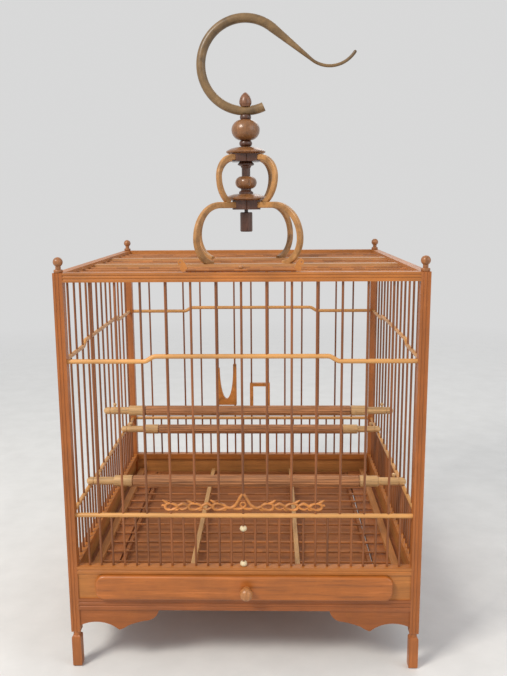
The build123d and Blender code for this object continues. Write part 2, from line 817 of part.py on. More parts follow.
def perch():
    """Turned perch along X with fluted middle, slotted ends and a peg near each end."""
    radius = perch_diameter / 2
    section = Circle(radius)
    for n in range(perch_flutes):
        angle = n * 360 / perch_flutes
        groove = Pos(radius + perch_flute_depth, 0) * Circle(2 * perch_flute_depth)
        section -= Rot(0, 0, angle) * groove
    middle = extrude(Plane.YZ * section, perch_flute_half, both=True)
    tip = post_x + perch_past_bars
    cap = tip - perch_cap_length
    end = perch_end_diameter / 2
    ring = perch_ring_diameter / 2
    start = perch_flute_half
    ring_start = start + perch_groove
    ring_end = ring_start + perch_ring_width
    neck = radius - perch_groove
    round_tip = end * 0.55
    profile = Polyline(
        (0, start), (neck, start), (neck, ring_start),
        (ring, ring_start), (ring, ring_end), (radius, ring_end + perch_groove / 2),
        (radius, perch_shoulder - perch_groove), (end, perch_shoulder),
        (end, cap - perch_groove), (end - perch_groove / 2, cap - perch_groove),
        (end - perch_groove / 2, cap), (end, cap),
        (end, tip - round_tip), (end - round_tip * 0.4, tip - round_tip * 0.35),
        (end - round_tip, tip), (0, tip),
        close=True,
    )
    turned_end = turned(profile.edges())
    peg_z = end + perch_peg_height - perch_peg_ball / 2
    peg_x = tip - perch_peg_inset
    peg = upright(peg_x, 0, 0, peg_z, perch_peg_stem)
    peg += Pos(peg_x, 0, peg_z) * Sphere(perch_peg_ball / 2)
    slot_half = bar_radius + perch_slot_gap
    slot_end = post_x - bar_radius - perch_slot_gap
    slot = block(slot_end, tip, -slot_half, slot_half, -end, end)
    right = Rot(0, 90, 0) * turned_end + peg - slot
    return middle + right + mirror(right, Plane.YZ)


def save_perches():
    """One high perch in the middle and two lower ones that lie on the side hoops."""
    one = perch()
    low_z = lower_hoop_z + hoop_radius + perch_rest_gap + perch_end_diameter / 2
    save("perch_upper", Pos(0, 0, perch_upper_z) * one)
    save("perch_lower_front", Pos(0, -perch_row * pitch_y, low_z) * one)
    save("perch_lower_back", Pos(0, perch_row * pitch_y, low_z) * one)


# Claw

def hub(bottom, height):
    """Square block with cut corners, seamed faces and a bore for the spindle."""
    middle = (0, 0, bottom + height / 2)
    body = Pos(*middle) * Box(hub_side, hub_side, height)
    body &= Pos(*middle) * Rot(0, 0, 45) * Box(2 * hub_reach, 2 * hub_reach, height)
    cuts = [upright(0, 0, bottom, bottom + height, spindle_diameter + 2 * slide_gap)]
    for n in range(4):
        seam = Pos(hub_side / 2, 0, bottom + height / 2) * Rot(0, 0, 45) * Box(hub_seam, hub_seam, height)
        cuts.append(Rot(0, 0, 90 * n) * seam)
    return Rot(0, 0, claw_turn) * (body - cuts)


def disc(bottom, height, diameter):
    """Domed disc with a thin edge."""
    edge = diameter / 2
    hole = spindle_diameter / 2 + slide_gap
    crown = disc_top_diameter / 2
    low = bottom + disc_bevel
    high = low + disc_edge
    top = bottom + height
    middle = ((edge + crown) / 2, high + (top - high) * 0.72)
    return turned([
        Line((hole, bottom), (edge - 2 * disc_bevel, bottom)),
        Line((edge - 2 * disc_bevel, bottom), (edge, low)),
        Line((edge, low), (edge, high)),
        ThreePointArc((edge, high), middle, (crown, top)),
        Line((crown, top), (hole, top)),
        Line((hole, top), (hole, bottom)),
    ])


def claw_strip(height_at_hub, width, thickness, bulge, shoulder, foot_turn, cut_z):
    """Bent strip from the hub outwards and down, cut level where it stands."""
    start = Line((hub_reach, height_at_hub), (bulge - shoulder, height_at_hub))
    top_arc = JernArc(start @ 1, (1, 0), shoulder, -90)
    drop = height_at_hub - shoulder - cut_z + thickness * 0.1
    foot_radius = drop / math.sin(math.radians(foot_turn))
    foot_arc = JernArc(top_arc @ 1, (0, -1), foot_radius, -foot_turn)
    path = Plane.XZ * Wire([start, top_arc, foot_arc])
    plane = Plane(path @ 0, x_dir=(0, 1, 0), z_dir=path % 0)
    strip = sweep(plane * RectangleRounded(width, thickness, strip_round), path)
    room = 2 * bulge
    strip -= block(0, room, -room, room, cut_z - room, cut_z)
    return strip


def four_strips(strip):
    """The same strip in the four diagonal directions."""
    return [Rot(0, 0, claw_turn + 45 + 90 * n) * strip for n in range(4)]


def save_claw():
    """Two tiers of bent strips with their hubs, discs and turned column."""
    save("hub_lower", hub(lower_hub_z, lower_hub_height))
    save("hub_upper", hub(upper_hub_z, upper_hub_height))
    save("disc_lower", disc(lower_disc_z, lower_disc_height, lower_disc_diameter))
    save("disc_upper", disc(upper_disc_z, upper_disc_height, upper_disc_diameter))

    lower_z = lower_hub_z + lower_hub_height / 2
    lower = claw_strip(lower_z, lower_strip_width, lower_strip_thickness, lower_bulge_radius,
                       lower_shoulder_radius, lower_foot_turn, bearer_top)
    save("claw_strips_lower", *four_strips(lower))
    upper_z = upper_hub_z + upper_hub_height / 2
    landing = lower_z + lower_strip_thickness / 2
    upper = claw_strip(upper_z, upper_strip_width, upper_strip_thickness, upper_bulge_radius,
                       upper_shoulder_radius, upper_foot_turn, landing)
    save("claw_strips_upper", *four_strips(upper))

    bore = spindle_diameter + 2 * slide_gap
    foot_radius = column_foot_diameter / 2
    melon_end = melon_end_diameter / 2
    foot_block = turned_points([
        (bore / 2, column_z), (foot_radius, column_z),
        (foot_radius, column_z + column_foot_height * 0.4),
        (melon_end, column_z + column_foot_height * 0.7),
        (melon_end, melon_z), (bore / 2, melon_z),
    ])
    save("column_foot", foot_block)
    melon = bead(melon_z, melon_height, melon_end_diameter, melon_diameter, bore)
    reach = melon_diameter / 2 + melon_groove * 0.2
    grooves = [
        Rot(0, 0, claw_turn + n * 360 / melon_lobes) * upright(reach, 0, melon_z, stem_z, 2 * melon_groove)
        for n in range(melon_lobes)
    ]
    save("melon_bead", melon - grooves)
    stem_radius = stem_diameter / 2
    flare_radius = flare_diameter / 2
    stem = turned_points([
        (bore / 2, stem_z), (stem_radius, stem_z),
        (stem_radius, flare_z - flare_height * 0.2), (stem_radius * 1.3, flare_z + flare_height * 0.2),
        (flare_radius, flare_z + flare_height * 0.4), (flare_radius, flare_z + flare_height * 0.6),
        (stem_radius * 1.4, upper_hub_z), (bore / 2, upper_hub_z),
    ])
    save("column_stem", stem)


# Hook

def hook_point(radius, angle):
    """Point of the hook's round part, at an angle counted from its foot towards the left."""
    turn = math.radians(angle)
    return (-radius * math.sin(turn), hook_centre_z - radius * math.cos(turn))


def hook():
    """Round hook with a square-cut tail, a tapered stretch and an upturned tip."""
    last = 180 + hook_slope
    tail = hook_point(hook_radius, -hook_tail_angle)
    side = hook_point(hook_radius, 90)
    end = hook_point(hook_radius, last)
    ring_path = Plane.XZ * ThreePointArc(tail, side, end)
    start_plane = Plane(ring_path @ 0, z_dir=ring_path % 0)
    ring = sweep(start_plane * Circle(hook_diameter / 2), ring_path)

    heading = math.radians(-hook_slope)
    along = (math.cos(heading), math.sin(heading))
    joint = (end[0] + hook_straight * along[0], end[1] + hook_straight * along[1])
    cone_plane = Plane((end[0], 0, end[1]), z_dir=(along[0], 0, along[1]))
    cone = cone_plane * Cone(
        hook_diameter / 2, hook_tip_diameter / 2, hook_straight,
        align=(Align.CENTER, Align.CENTER, Align.MIN),
    )
    tip_path = Plane.XZ * JernArc(joint, along, hook_tip_radius, hook_tip_turn)
    tip_plane = Plane(tip_path @ 0, z_dir=tip_path % 0)
    tip = sweep(tip_plane * Circle(hook_tip_diameter / 2), tip_path)
    ball = Pos(tip_path @ 1) * Sphere(hook_tip_diameter / 2)
    body = ring + cone + tip + ball

    flat_half = hook_diameter
    body -= block(-flat_half, flat_half, -flat_half, flat_half, hook_seat_z - hook_diameter, hook_seat_z)
    body -= upright(0, 0, nut_z, nut_z + nut_height, nut_diameter + 6 * fit_gap)
    body -= upright(0, 0, hook_seat_z, nut_z, spindle_diameter + 2 * fit_gap)
    return body


def save_hook():
    """Hook, nut, beads, spindle and the peg that retains it under the claw."""
    bore = spindle_diameter + 2 * fit_gap
    save("hook", hook())
    save("hook_collar", bead(collar_z, collar_height, collar_diameter * 0.86, collar_diameter, bore))
    save("hook_bead_large", bead(big_bead_z, big_bead_height, big_bead_end, big_bead_diameter, bore))
    small = bead(small_bead_z, small_bead_height, small_bead_end, small_bead_diameter, bore)
    save("hook_bead_small", small)
    peg_bottom = retainer_top - retainer_length
    peg = upright(0, 0, peg_bottom, retainer_top, retainer_diameter)
    peg = chamfer(peg.edges().filter_by(GeomType.CIRCLE), 0.8)
    spindle_bottom = retainer_top - retainer_seat
    peg -= upright(0, 0, spindle_bottom, retainer_top, bore)
    save("retaining_peg", peg)
    spindle_top = nut_z + nut_seat
    save("hook_spindle", upright(0, 0, spindle_bottom, spindle_top, spindle_diameter))
    radius = nut_diameter / 2
    base = nut_base_diameter / 2
    shoulder = nut_z + nut_height * 0.22
    nut_top = nut_z + nut_height
    tip = nut_tip / 2
    nut = turned([
        Line((0, nut_z), (base, nut_z)),
        Line((base, nut_z), (radius, shoulder)),
        ThreePointArc((radius, shoulder), (radius * 0.78, nut_z + nut_height * 0.7), (tip, nut_top)),
        Line((tip, nut_top), (0, nut_top)),
        Line((0, nut_top), (0, nut_z)),
    ])
    nut -= upright(0, 0, nut_z, spindle_top, bore)
    save("acorn_nut", nut)


# Brackets on the back wall

def bracket_plate(sketch):
    """Upright plate on the back bars."""
    return extrude(Plane.XZ * sketch, bracket_arm_depth / 2, both=True)


def arm(x, bottom, top):
    """Flat arm centred on a bar."""
    return Pos(x, (bottom + top) / 2) * Rectangle(bracket_arm_width, top - bottom)


def save_back_brackets():
    """Carved cup bracket and arch bracket, each threaded on two bars."""
    hole = bar_diameter + 2 * fit_gap
    left = cup_place * pitch_x
    right = left + 2 * pitch_x
    middle = (left + right) / 2
    half = (right - left - bracket_arm_width) / 2
    high = cup_left_top
    fill_height = high - cup_bottom
    body = arm(left, cup_bottom, cup_left_top) + arm(right, cup_bottom, cup_right_top)
    body += Pos(middle, (cup_bottom + high) / 2) * Rectangle(right - left, fill_height)
    hollow = Pos(middle, high) * Ellipse(half, high - cup_inside_bottom)
    hollow += Pos(middle, high + fill_height / 2) * Rectangle(2 * half, fill_height)
    plate = bracket_plate(body - hollow)
    plate -= [upright(x, 0, cup_bottom, cup_right_top, hole) for x in (left, right)]
    save("cup_bracket", Pos(0, post_y, 0) * plate)

    left = arch_place * pitch_x
    right = left + 2 * pitch_x
    body = arm(left, arch_bottom, arch_top) + arm(right, arch_bottom, arch_top)
    body += Pos((left + right) / 2, arch_top - arch_beam / 2) * Rectangle(right - left, arch_beam)
    plate = bracket_plate(body)
    plate -= [upright(x, 0, arch_bottom, arch_top, hole) for x in (left, right)]
    save("arch_bracket", Pos(0, post_y, 0) * plate)


os.makedirs("parts", exist_ok=True)
save_posts()
save_frame()
save_walls()
save_roof()
save_floor()
save_drawer()
save_door()
save_pin()
save_perches()
save_claw()
save_hook()
save_back_brackets()
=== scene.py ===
import json
import math
import random

import bpy
from mathutils import Matrix, Vector


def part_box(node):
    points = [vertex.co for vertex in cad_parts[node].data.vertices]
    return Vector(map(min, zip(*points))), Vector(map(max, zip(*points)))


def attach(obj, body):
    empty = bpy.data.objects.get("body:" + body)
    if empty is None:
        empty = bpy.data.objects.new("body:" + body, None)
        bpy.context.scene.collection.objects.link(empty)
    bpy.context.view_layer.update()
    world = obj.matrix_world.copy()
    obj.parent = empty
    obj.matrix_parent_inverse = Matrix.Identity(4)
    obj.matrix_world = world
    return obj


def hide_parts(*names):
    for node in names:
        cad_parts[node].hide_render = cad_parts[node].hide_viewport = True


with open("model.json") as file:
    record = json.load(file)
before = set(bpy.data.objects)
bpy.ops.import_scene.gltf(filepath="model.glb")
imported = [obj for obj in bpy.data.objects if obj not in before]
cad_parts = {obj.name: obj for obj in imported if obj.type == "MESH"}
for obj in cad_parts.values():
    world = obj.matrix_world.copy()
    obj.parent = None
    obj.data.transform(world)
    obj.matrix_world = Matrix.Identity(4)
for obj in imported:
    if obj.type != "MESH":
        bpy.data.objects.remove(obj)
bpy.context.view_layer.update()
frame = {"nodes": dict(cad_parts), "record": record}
nodes = frame["nodes"]
MM = 0.001

POST_HALF = 0.0095          # half the side of a corner post, in metres
BAR_RADIUS = 0.0012         # wall bars, in metres
GAPS_PER_WALL = 28          # bar spaces between two post centres

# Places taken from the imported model, in metres
mid_y = sum(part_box("corner_posts")[i].y for i in (0, 1)) / 2
side_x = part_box("corner_posts")[1].x - POST_HALF
bar_pitch = 2 * side_x / GAPS_PER_WALL
front_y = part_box("door_bars")[0].y + BAR_RADIUS


# Shader helpers

class Shader:
    """A node material built by short calls. Coordinates are the object's own, in millimetres."""

    def __init__(self, name):
        self.material = bpy.data.materials.new(name)
        self.material.use_nodes = True
        self.tree = self.material.node_tree
        self.tree.nodes.clear()
        self.out = self.add("ShaderNodeOutputMaterial")
        self.surface = self.add("ShaderNodeBsdfPrincipled")
        self.tree.links.new(self.surface.outputs["BSDF"], self.out.inputs["Surface"])
        place = self.add("ShaderNodeTexCoord").outputs["Object"]
        self.place = self.vector("SCALE", place, scale=1000.0)

    def add(self, kind, **settings):
        node = self.tree.nodes.new(kind)
        for key, value in settings.items():
            setattr(node, key, value)
        return node

    def put(self, socket, value):
        if isinstance(value, bpy.types.NodeSocket):
            self.tree.links.new(value, socket)
        else:
            socket.default_value = value

    def math(self, operation, a, b=0.0):
        node = self.add("ShaderNodeMath", operation=operation)
        for socket, value in zip(node.inputs, (a, b)):
            self.put(socket, value)
        return node.outputs[0]

    def vector(self, operation, a, b=None, scale=None):
        node = self.add("ShaderNodeVectorMath", operation=operation)
        self.put(node.inputs[0], a)
        if b is not None:
            self.put(node.inputs[1], b)
        if scale is not None:
            self.put(node.inputs["Scale"], scale)
        return node.outputs["Value" if operation in ("LENGTH", "DISTANCE") else "Vector"]

    def noise(self, place, scale, detail=4.0, rough=0.55, warp=0.0):
        node = self.add("ShaderNodeTexNoise")
        for key, value in (("Vector", place), ("Scale", scale), ("Detail", detail),
                           ("Roughness", rough), ("Distortion", warp)):
            self.put(node.inputs[key], value)
        return node.outputs["Fac"]

    def ramp(self, value, stops):
        node = self.add("ShaderNodeValToRGB")
        while len(node.color_ramp.elements) < len(stops):
            node.color_ramp.elements.new(0.5)
        for element, (at, colour) in zip(node.color_ramp.elements, stops):
            element.position = at
            element.color = (*colour, 1.0)
        self.put(node.inputs[0], value)
        return node.outputs["Color"]

    def level(self, value, low, high, to_low=0.0, to_high=1.0):
        node = self.add("ShaderNodeMapRange")
        for key, number in (("Value", value), ("From Min", low), ("From Max", high),
                            ("To Min", to_low), ("To Max", to_high)):
            self.put(node.inputs[key], number)
        return node.outputs["Result"]

    def mix(self, factor, a, b):
        node = self.add("ShaderNodeMix", data_type="RGBA")
        self.put(node.inputs[0], factor)
        for socket, value in ((node.inputs[6], a), (node.inputs[7], b)):
            self.put(socket, (*value, 1.0) if isinstance(value, tuple) else value)
        return node.outputs[2]

    def xyz(self, vector):
        node = self.add("ShaderNodeSeparateXYZ")
        self.put(node.inputs[0], vector)
        return node.outputs

    def bump(self, height, strength, depth_mm):
        node = self.add("ShaderNodeBump")
        self.put(node.inputs["Strength"], strength)
        self.put(node.inputs["Distance"], depth_mm * MM)
        self.put(node.inputs["Height"], height)
        self.put(self.surface.inputs["Normal"], node.outputs["Normal"])


def dim(colour, factor):
    return tuple(channel * factor for channel in colour)


DRAWN = 0.045               # scale of a pattern along the grain, against 1 across it
STRETCH = {"x": (DRAWN, 1.0, 1.0), "y": (1.0, DRAWN, 1.0), "z": (1.0, 1.0, DRAWN)}
SIDE_MARGIN = 0.1           # how far past the side bars' centres a side piece starts, in mm
TINT_SHIFT = 6.09           # about half a bar space in mm, so each bar lies inside one tint cell
TINT_CELL_HEIGHT = 6000.0   # taller than the cage in mm, so a bar keeps one tint


def wood(name, colour, grain, contrast=0.5, rough=0.5, fibre=0.9, coat=0.15, tint=0.12, worn=0.3):
    """Oiled wood or bamboo: streaks, fibres, pores, worn patches and a tint of its own for each bar."""
    s = Shader(name)
    if grain == "wall":
        side = s.math("GREATER_THAN", s.math("ABSOLUTE", s.xyz(s.place)[0]), side_x / MM + SIDE_MARGIN)
        node = s.add("ShaderNodeMix", data_type="VECTOR")
        s.put(node.inputs[0], side)
        s.put(node.inputs[4], STRETCH["x"])
        s.put(node.inputs[5], STRETCH["y"])
        stretch = node.outputs[1]
    else:
        stretch = STRETCH[grain]
    along = s.vector("MULTIPLY", s.place, stretch)
    streak = s.noise(along, 0.16, 5.0, 0.6, 0.5)
    threads = s.noise(along, fibre, 4.0, 0.65, 0.15)
    pores = s.noise(along, fibre * 3.1, 2.0, 0.6)
    cloud = s.noise(s.place, 0.022, 3.0, 0.55)
    wear = s.noise(s.place, 0.11, 6.0, 0.7)
    shifted = s.vector("ADD", s.place, (TINT_SHIFT, TINT_SHIFT - mid_y / MM, TINT_CELL_HEIGHT / 2))
    cell = s.vector("SNAP", shifted, (bar_pitch / MM, bar_pitch / MM, TINT_CELL_HEIGHT))
    own = s.add("ShaderNodeTexWhiteNoise")
    s.put(own.inputs["Vector"], cell)
    mixed = s.math("ADD", s.math("MULTIPLY", streak, 0.55), s.math("MULTIPLY", threads, 0.45))
    spread = 0.22 / (0.5 + contrast)
    body = s.ramp(s.level(mixed, 0.5 - spread, 0.5 + spread), [
        (0.0, dim(colour, 1 - 0.62 * contrast)),
        (0.35, dim(colour, 0.92)),
        (0.65, dim(colour, 1.06)),
        (1.0, tuple(min(0.85, c * (1 + 0.5 * contrast) + 0.02) for c in colour)),
    ])
    shade = s.math("ADD", s.level(cloud, 0.3, 0.7, 0.84, 1.12),
                   s.level(own.outputs["Value"], 0, 1, -tint, tint))
    hue = s.add("ShaderNodeHueSaturation")
    s.put(hue.inputs["Value"], shade)
    s.put(hue.inputs["Color"], body)
    tone = s.mix(s.level(pores, 0.6, 0.75, 0.0, 0.45), hue.outputs["Color"], dim(colour, 0.28))
    pale = tuple(min(0.8, c * 0.95 + k) for c, k in zip(colour, (0.09, 0.055, 0.02)))
    patch = s.level(wear, 0.56, 0.72, 0.0, worn)
    tone = s.mix(patch, tone, pale)
    height = s.math("ADD", threads, s.math("MULTIPLY", pores, -0.5))
    s.put(s.surface.inputs["Base Color"], tone)
    s.put(s.surface.inputs["Roughness"], s.math("ADD", s.level(wear, 0.3, 0.7, rough - 0.08, rough + 0.16),
                                               s.math("MULTIPLY", threads, 0.1)))
    s.put(s.surface.inputs["Coat Weight"], coat)
    s.put(s.surface.inputs["Coat Roughness"], 0.28)
    s.bump(height, 0.64, 0.12)
    return s.material


def turned_wood(name, colour, rough=0.3, coat=0.4):
    """Lathe-turned hardwood: fine rings round the axis, upright figure and handling polish."""
    s = Shader(name)
    upright = s.xyz(s.place)[2]
    rings = s.noise(s.vector("MULTIPLY", s.place, (0.05, 0.05, 1.0)), 2.4, 3.0, 0.6)
    figure = s.noise(s.vector("MULTIPLY", s.place, (1.0, 1.0, 0.12)), 0.35, 6.0, 0.65, 1.2)
    pores = s.noise(s.vector("MULTIPLY", s.place, (1.0, 1.0, 0.18)), 3.0, 2.0, 0.6)
    wear = s.noise(s.place, 0.16, 6.0, 0.7)
    tone = s.ramp(s.level(figure, 0.28, 0.72), [
        (0.0, dim(colour, 0.45)), (0.4, dim(colour, 0.9)), (0.7, dim(colour, 1.15)),
        (1.0, tuple(min(0.8, c * 1.5 + 0.015) for c in colour)),
    ])
    tone = s.mix(s.level(pores, 0.58, 0.72, 0.0, 0.5), tone, dim(colour, 0.25))
    tone = s.mix(s.level(wear, 0.55, 0.75, 0.0, 0.3), tone, tuple(c * 0.8 + 0.07 for c in colour))
    tool_marks = s.math("SINE", s.math("MULTIPLY", upright, 2.2))
    tone = s.mix(s.level(tool_marks, 0.9, 1.0, 0.0, 0.15), tone, dim(colour, 0.4))
    s.put(s.surface.inputs["Base Color"], tone)
    s.put(s.surface.inputs["Roughness"], s.level(wear, 0.3, 0.7, rough - 0.06, rough + 0.18))
    s.put(s.surface.inputs["Coat Weight"], coat)
    s.put(s.surface.inputs["Coat Roughness"], 0.2)
    s.bump(s.math("ADD", rings, s.math("MULTIPLY", pores, -0.6)), 0.45, 0.1)
    return s.material


def bone(name, colour):
    """Polished bone with fine pores, warm stains and a faint waxy glow."""
    s = Shader(name)
    stain = s.noise(s.place, 0.5, 5.0, 0.65)
    pores = s.noise(s.vector("MULTIPLY", s.place, (1.0, 1.0, 0.25)), 4.0, 2.0, 0.6)
    tone = s.ramp(s.level(stain, 0.3, 0.7), [
        (0.0, dim(colour, 0.68)), (0.5, colour), (1.0, dim(colour, 1.1)),
    ])
    tone = s.mix(s.level(pores, 0.6, 0.72, 0.0, 0.5), tone, dim(colour, 0.45))
    s.put(s.surface.inputs["Base Color"], tone)
    s.put(s.surface.inputs["Roughness"], s.level(stain, 0.3, 0.7, 0.28, 0.42))
    s.put(s.surface.inputs["Subsurface Weight"], 0.12)
    s.put(s.surface.inputs["Subsurface Radius"], (1.0, 0.7, 0.4))
    s.put(s.surface.inputs["Subsurface Scale"], 0.0008)
    s.bump(pores, 0.3, 0.06)
    return s.material


FLUTED_HALF = 125.0         # half length of a perch's fluted middle, in mm
PALE_FROM = 127.5           # where its pale ends are fully pale, in mm


def perch_wood(name, colour):
    """Perch: darker lengthwise flutes in the middle, pale worn ends, marks left by claws."""
    s = Shader(name)
    out = s.math("ABSOLUTE", s.xyz(s.place)[0])
    along = s.vector("MULTIPLY", s.place, STRETCH["x"])
    streak = s.noise(along, 0.5, 5.0, 0.6, 0.4)
    threads = s.noise(along, 1.6, 3.0, 0.6)
    scratch = s.noise(s.vector("MULTIPLY", s.place, (1.0, 0.25, 0.25)), 0.9, 4.0, 0.7)
    figure = s.level(streak, 0.3, 0.7)
    middle = s.ramp(figure, [(0.0, dim(colour, 0.4)), (0.5, colour), (1.0, dim(colour, 1.45))])
    pale = (0.56, 0.33, 0.14)
    ends = s.ramp(figure, [(0.0, dim(pale, 0.6)), (0.5, pale), (1.0, dim(pale, 1.2))])
    tone = s.mix(s.level(out, FLUTED_HALF, PALE_FROM), middle, ends)
    tone = s.mix(s.level(scratch, 0.6, 0.75, 0.0, 0.4), tone, dim(colour, 0.35))
    s.put(s.surface.inputs["Base Color"], tone)
    s.put(s.surface.inputs["Roughness"], s.level(threads, 0.3, 0.7, 0.42, 0.62))
    s.put(s.surface.inputs["Coat Weight"], 0.12)
    s.bump(s.math("ADD", threads, s.math("MULTIPLY", scratch, 0.7)), 0.5, 0.15)
    return s.material


def bamboo_strip(name, colour, rough=0.42):
    """Heat-bent bamboo: fine fibres, scorched bands and paler skin."""
    s = Shader(name)
    fine = s.noise(s.place, 0.9, 5.0, 0.7, 0.8)
    band = s.noise(s.place, 0.06, 4.0, 0.6, 0.5)
    dots = s.add("ShaderNodeTexVoronoi", feature="F1")
    s.put(dots.inputs["Vector"], s.place)
    s.put(dots.inputs["Scale"], 1.4)
    tone = s.ramp(s.level(band, 0.3, 0.7), [
        (0.0, dim(colour, 0.5)), (0.4, dim(colour, 0.9)), (0.75, dim(colour, 1.15)),
        (1.0, tuple(min(0.8, c * 1.35 + 0.03) for c in colour)),
    ])
    tone = s.mix(s.level(fine, 0.5, 0.75, 0.0, 0.5), tone, dim(colour, 0.5))
    tone = s.mix(s.level(dots.outputs["Distance"], 0.0, 0.16, 0.5, 0.0), tone, dim(colour, 0.3))
    s.put(s.surface.inputs["Base Color"], tone)
    s.put(s.surface.inputs["Roughness"], s.level(fine, 0.3, 0.7, rough - 0.08, rough + 0.14))
    s.put(s.surface.inputs["Coat Weight"], 0.2)
    s.put(s.surface.inputs["Coat Roughness"], 0.3)
    s.bump(s.math("ADD", fine, s.math("MULTIPLY", dots.outputs["Distance"], 0.5)), 0.4, 0.12)
    return s.material


honey = (0.36, 0.105, 0.015)
LOOKS = {
    "post_wood": wood("post_wood", honey, "z", 0.6, 0.42, coat=0.25, tint=0.0),
    "finial_wood": turned_wood("finial_wood", (0.32, 0.12, 0.035), 0.38, 0.25),
    "rail_wood": wood("rail_wood", (0.42, 0.14, 0.022), "wall", 0.6, 0.42, coat=0.25, tint=0.0),
    "apron_wood": wood("apron_wood", (0.3, 0.08, 0.01), "wall", 0.6, 0.4, coat=0.3, tint=0.0),
    "board_wood": wood("board_wood", (0.44, 0.155, 0.028), "wall", 0.7, 0.45, tint=0.0),
    "inner_board": wood("inner_board", (0.48, 0.2, 0.05), "wall", 0.7, 0.45, tint=0.0),
    "bracket_wood": wood("bracket_wood", (0.3, 0.082, 0.011), "wall", 0.6, 0.45, tint=0.0),
    "hoop_bamboo": wood("hoop_bamboo", (0.62, 0.3, 0.085), "wall", 0.45, 0.4, coat=0.3, tint=0.0, worn=0.2),
    "bar_bamboo": wood("bar_bamboo", (0.23, 0.07, 0.014), "z", 0.7, 0.42, coat=0.25, tint=0.22),
    "roof_bamboo": wood("roof_bamboo", (0.36, 0.125, 0.028), "x", 0.7, 0.45, tint=0.22),
    "roof_slat_wood": wood("roof_slat_wood", (0.45, 0.2, 0.065), "x", 0.6, 0.5, tint=0.0),
    "tray_wood": wood("tray_wood", (0.34, 0.115, 0.028), "x", 0.8, 0.6, coat=0.0, tint=0.0, worn=0.5),
    "runner_wood": wood("runner_wood", (0.42, 0.2, 0.08), "y", 0.7, 0.6, coat=0.0, tint=0.0),
    "ledge_wood": wood("ledge_wood", (0.36, 0.12, 0.03), "y", 0.7, 0.55, coat=0.05, tint=0.0),
    "batten_wood": wood("batten_wood", (0.48, 0.2, 0.055), "y", 0.6, 0.5, coat=0.05, tint=0.0),
    "grate_wood": wood("grate_wood", (0.55, 0.3, 0.11), "y", 0.6, 0.5, coat=0.05, tint=0.0),
    "panel_wood": wood("panel_wood", (0.4, 0.112, 0.011), "x", 0.85, 0.38, fibre=0.6, coat=0.35, tint=0.0),
    "knob_wood": turned_wood("knob_wood", (0.42, 0.17, 0.05), 0.35, 0.3),
    "carved_bamboo": bamboo_strip("carved_bamboo", (0.52, 0.19, 0.035)),
    "bone": bone("bone", (0.72, 0.6, 0.38)),
    "perch_wood": perch_wood("perch_wood", (0.38, 0.16, 0.06)),
    "dark_wood": turned_wood("dark_wood", (0.085, 0.028, 0.012), 0.35, 0.4),
    "turned_wood": turned_wood("turned_wood", (0.23, 0.095, 0.03), 0.3, 0.5),
    "claw_bamboo": bamboo_strip("claw_bamboo", (0.42, 0.205, 0.065)),
    "hook_cane": bamboo_strip("hook_cane", (0.19, 0.11, 0.042), 0.4),
    "nut_wood": turned_wood("nut_wood", (0.2, 0.08, 0.035), 0.35, 0.3),
}
NODE_LOOKS = {"roof_bars": "roof_bamboo", "grate_bars": "roof_bamboo", "tray_runners": "runner_wood",
              "door_top_rod": "roof_bamboo", "panel_boards": "inner_board",
              "grate_ledges": "ledge_wood", "grate_side_battens": "batten_wood"}

slot_of = {part["node"]: part["material_slot"] for part in frame["record"]["subparts"]}
for name, piece in nodes.items():
    look = LOOKS[NODE_LOOKS.get(name, slot_of[name])]
    piece.data.materials.clear()
    piece.data.materials.append(look)


# Mesh helpers

TUBE_SIDES = 12             # corners round a carved stroke
STROKE_STEPS = 9            # points between two of a stroke's given ones


def tube_rings(path, radii, flat, closed=False):
    """Vertices and faces of a tube with its own radius at each point; flat is its depth over its width."""
    up = Vector((0, 1, 0))
    sides = TUBE_SIDES
    verts = []
    faces = []
    count = len(path)
    for i, point in enumerate(path):
        before = path[(i - 1) % count] if closed or i else path[i]
        after = path[(i + 1) % count] if closed or i < count - 1 else path[i]
        heading = (after - before).normalized()
        side = up.cross(heading).normalized()
        depth = heading.cross(side)
        for k in range(sides):
            turn = 2 * math.pi * k / sides
            across = side * radii[i] * math.cos(turn)
            verts.append(point + across + depth * radii[i] * flat * math.sin(turn))
    for i in range(count if closed else count - 1):
        j = (i + 1) % count
        for k in range(sides):
            m = (k + 1) % sides
            faces.append((i * sides + k, i * sides + m, j * sides + m, j * sides + k))
    if not closed:
        faces.append(tuple(range(sides - 1, -1, -1)))
        faces.append(tuple((count - 1) * sides + k for k in range(sides)))
    return verts, faces


def build(name, parts, material, body, replaced):
    """One object from several (vertices, faces) lots, smooth shaded, riding on a CAD body."""
    verts = []
    faces = []
    for part_verts, part_faces in parts:
        start = len(verts)
        verts += [tuple(v) for v in part_verts]
        faces += [tuple(start + k for k in face) for face in part_faces]
    mesh = bpy.data.meshes.new(name)
    mesh.from_pydata(verts, [], faces)
    mesh.validate()
    mesh.polygons.foreach_set("use_smooth", [True] * len(mesh.polygons))
    mesh.materials.append(material)
    obj = bpy.data.objects.new(name, mesh)
    bpy.context.scene.collection.objects.link(obj)
    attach(obj, body)
    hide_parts(*replaced)


def smooth_path(points):
    """Catmull-Rom curve through points given as (x, depth, z, radius)."""
    rows = [points[0], *points, points[-1]]
    path = []
    radii = []
    for a, b, c, d in zip(rows, rows[1:], rows[2:], rows[3:]):
        for n in range(STROKE_STEPS):
            t = n / STROKE_STEPS
            value = [
                0.5 * (2 * q + (r - p) * t + (2 * p - 5 * q + 4 * r - s) * t * t
                       + (3 * q - p - 3 * r + s) * t ** 3)
                for p, q, r, s in zip(a, b, c, d)
            ]
            path.append(Vector(value[:3]))
            radii.append(value[3])
    path.append(Vector(points[-1][:3]))
    radii.append(points[-1][3])
    return path, radii


# Carved door rail: a vine with an eye round each bar and a curling peak in the middle

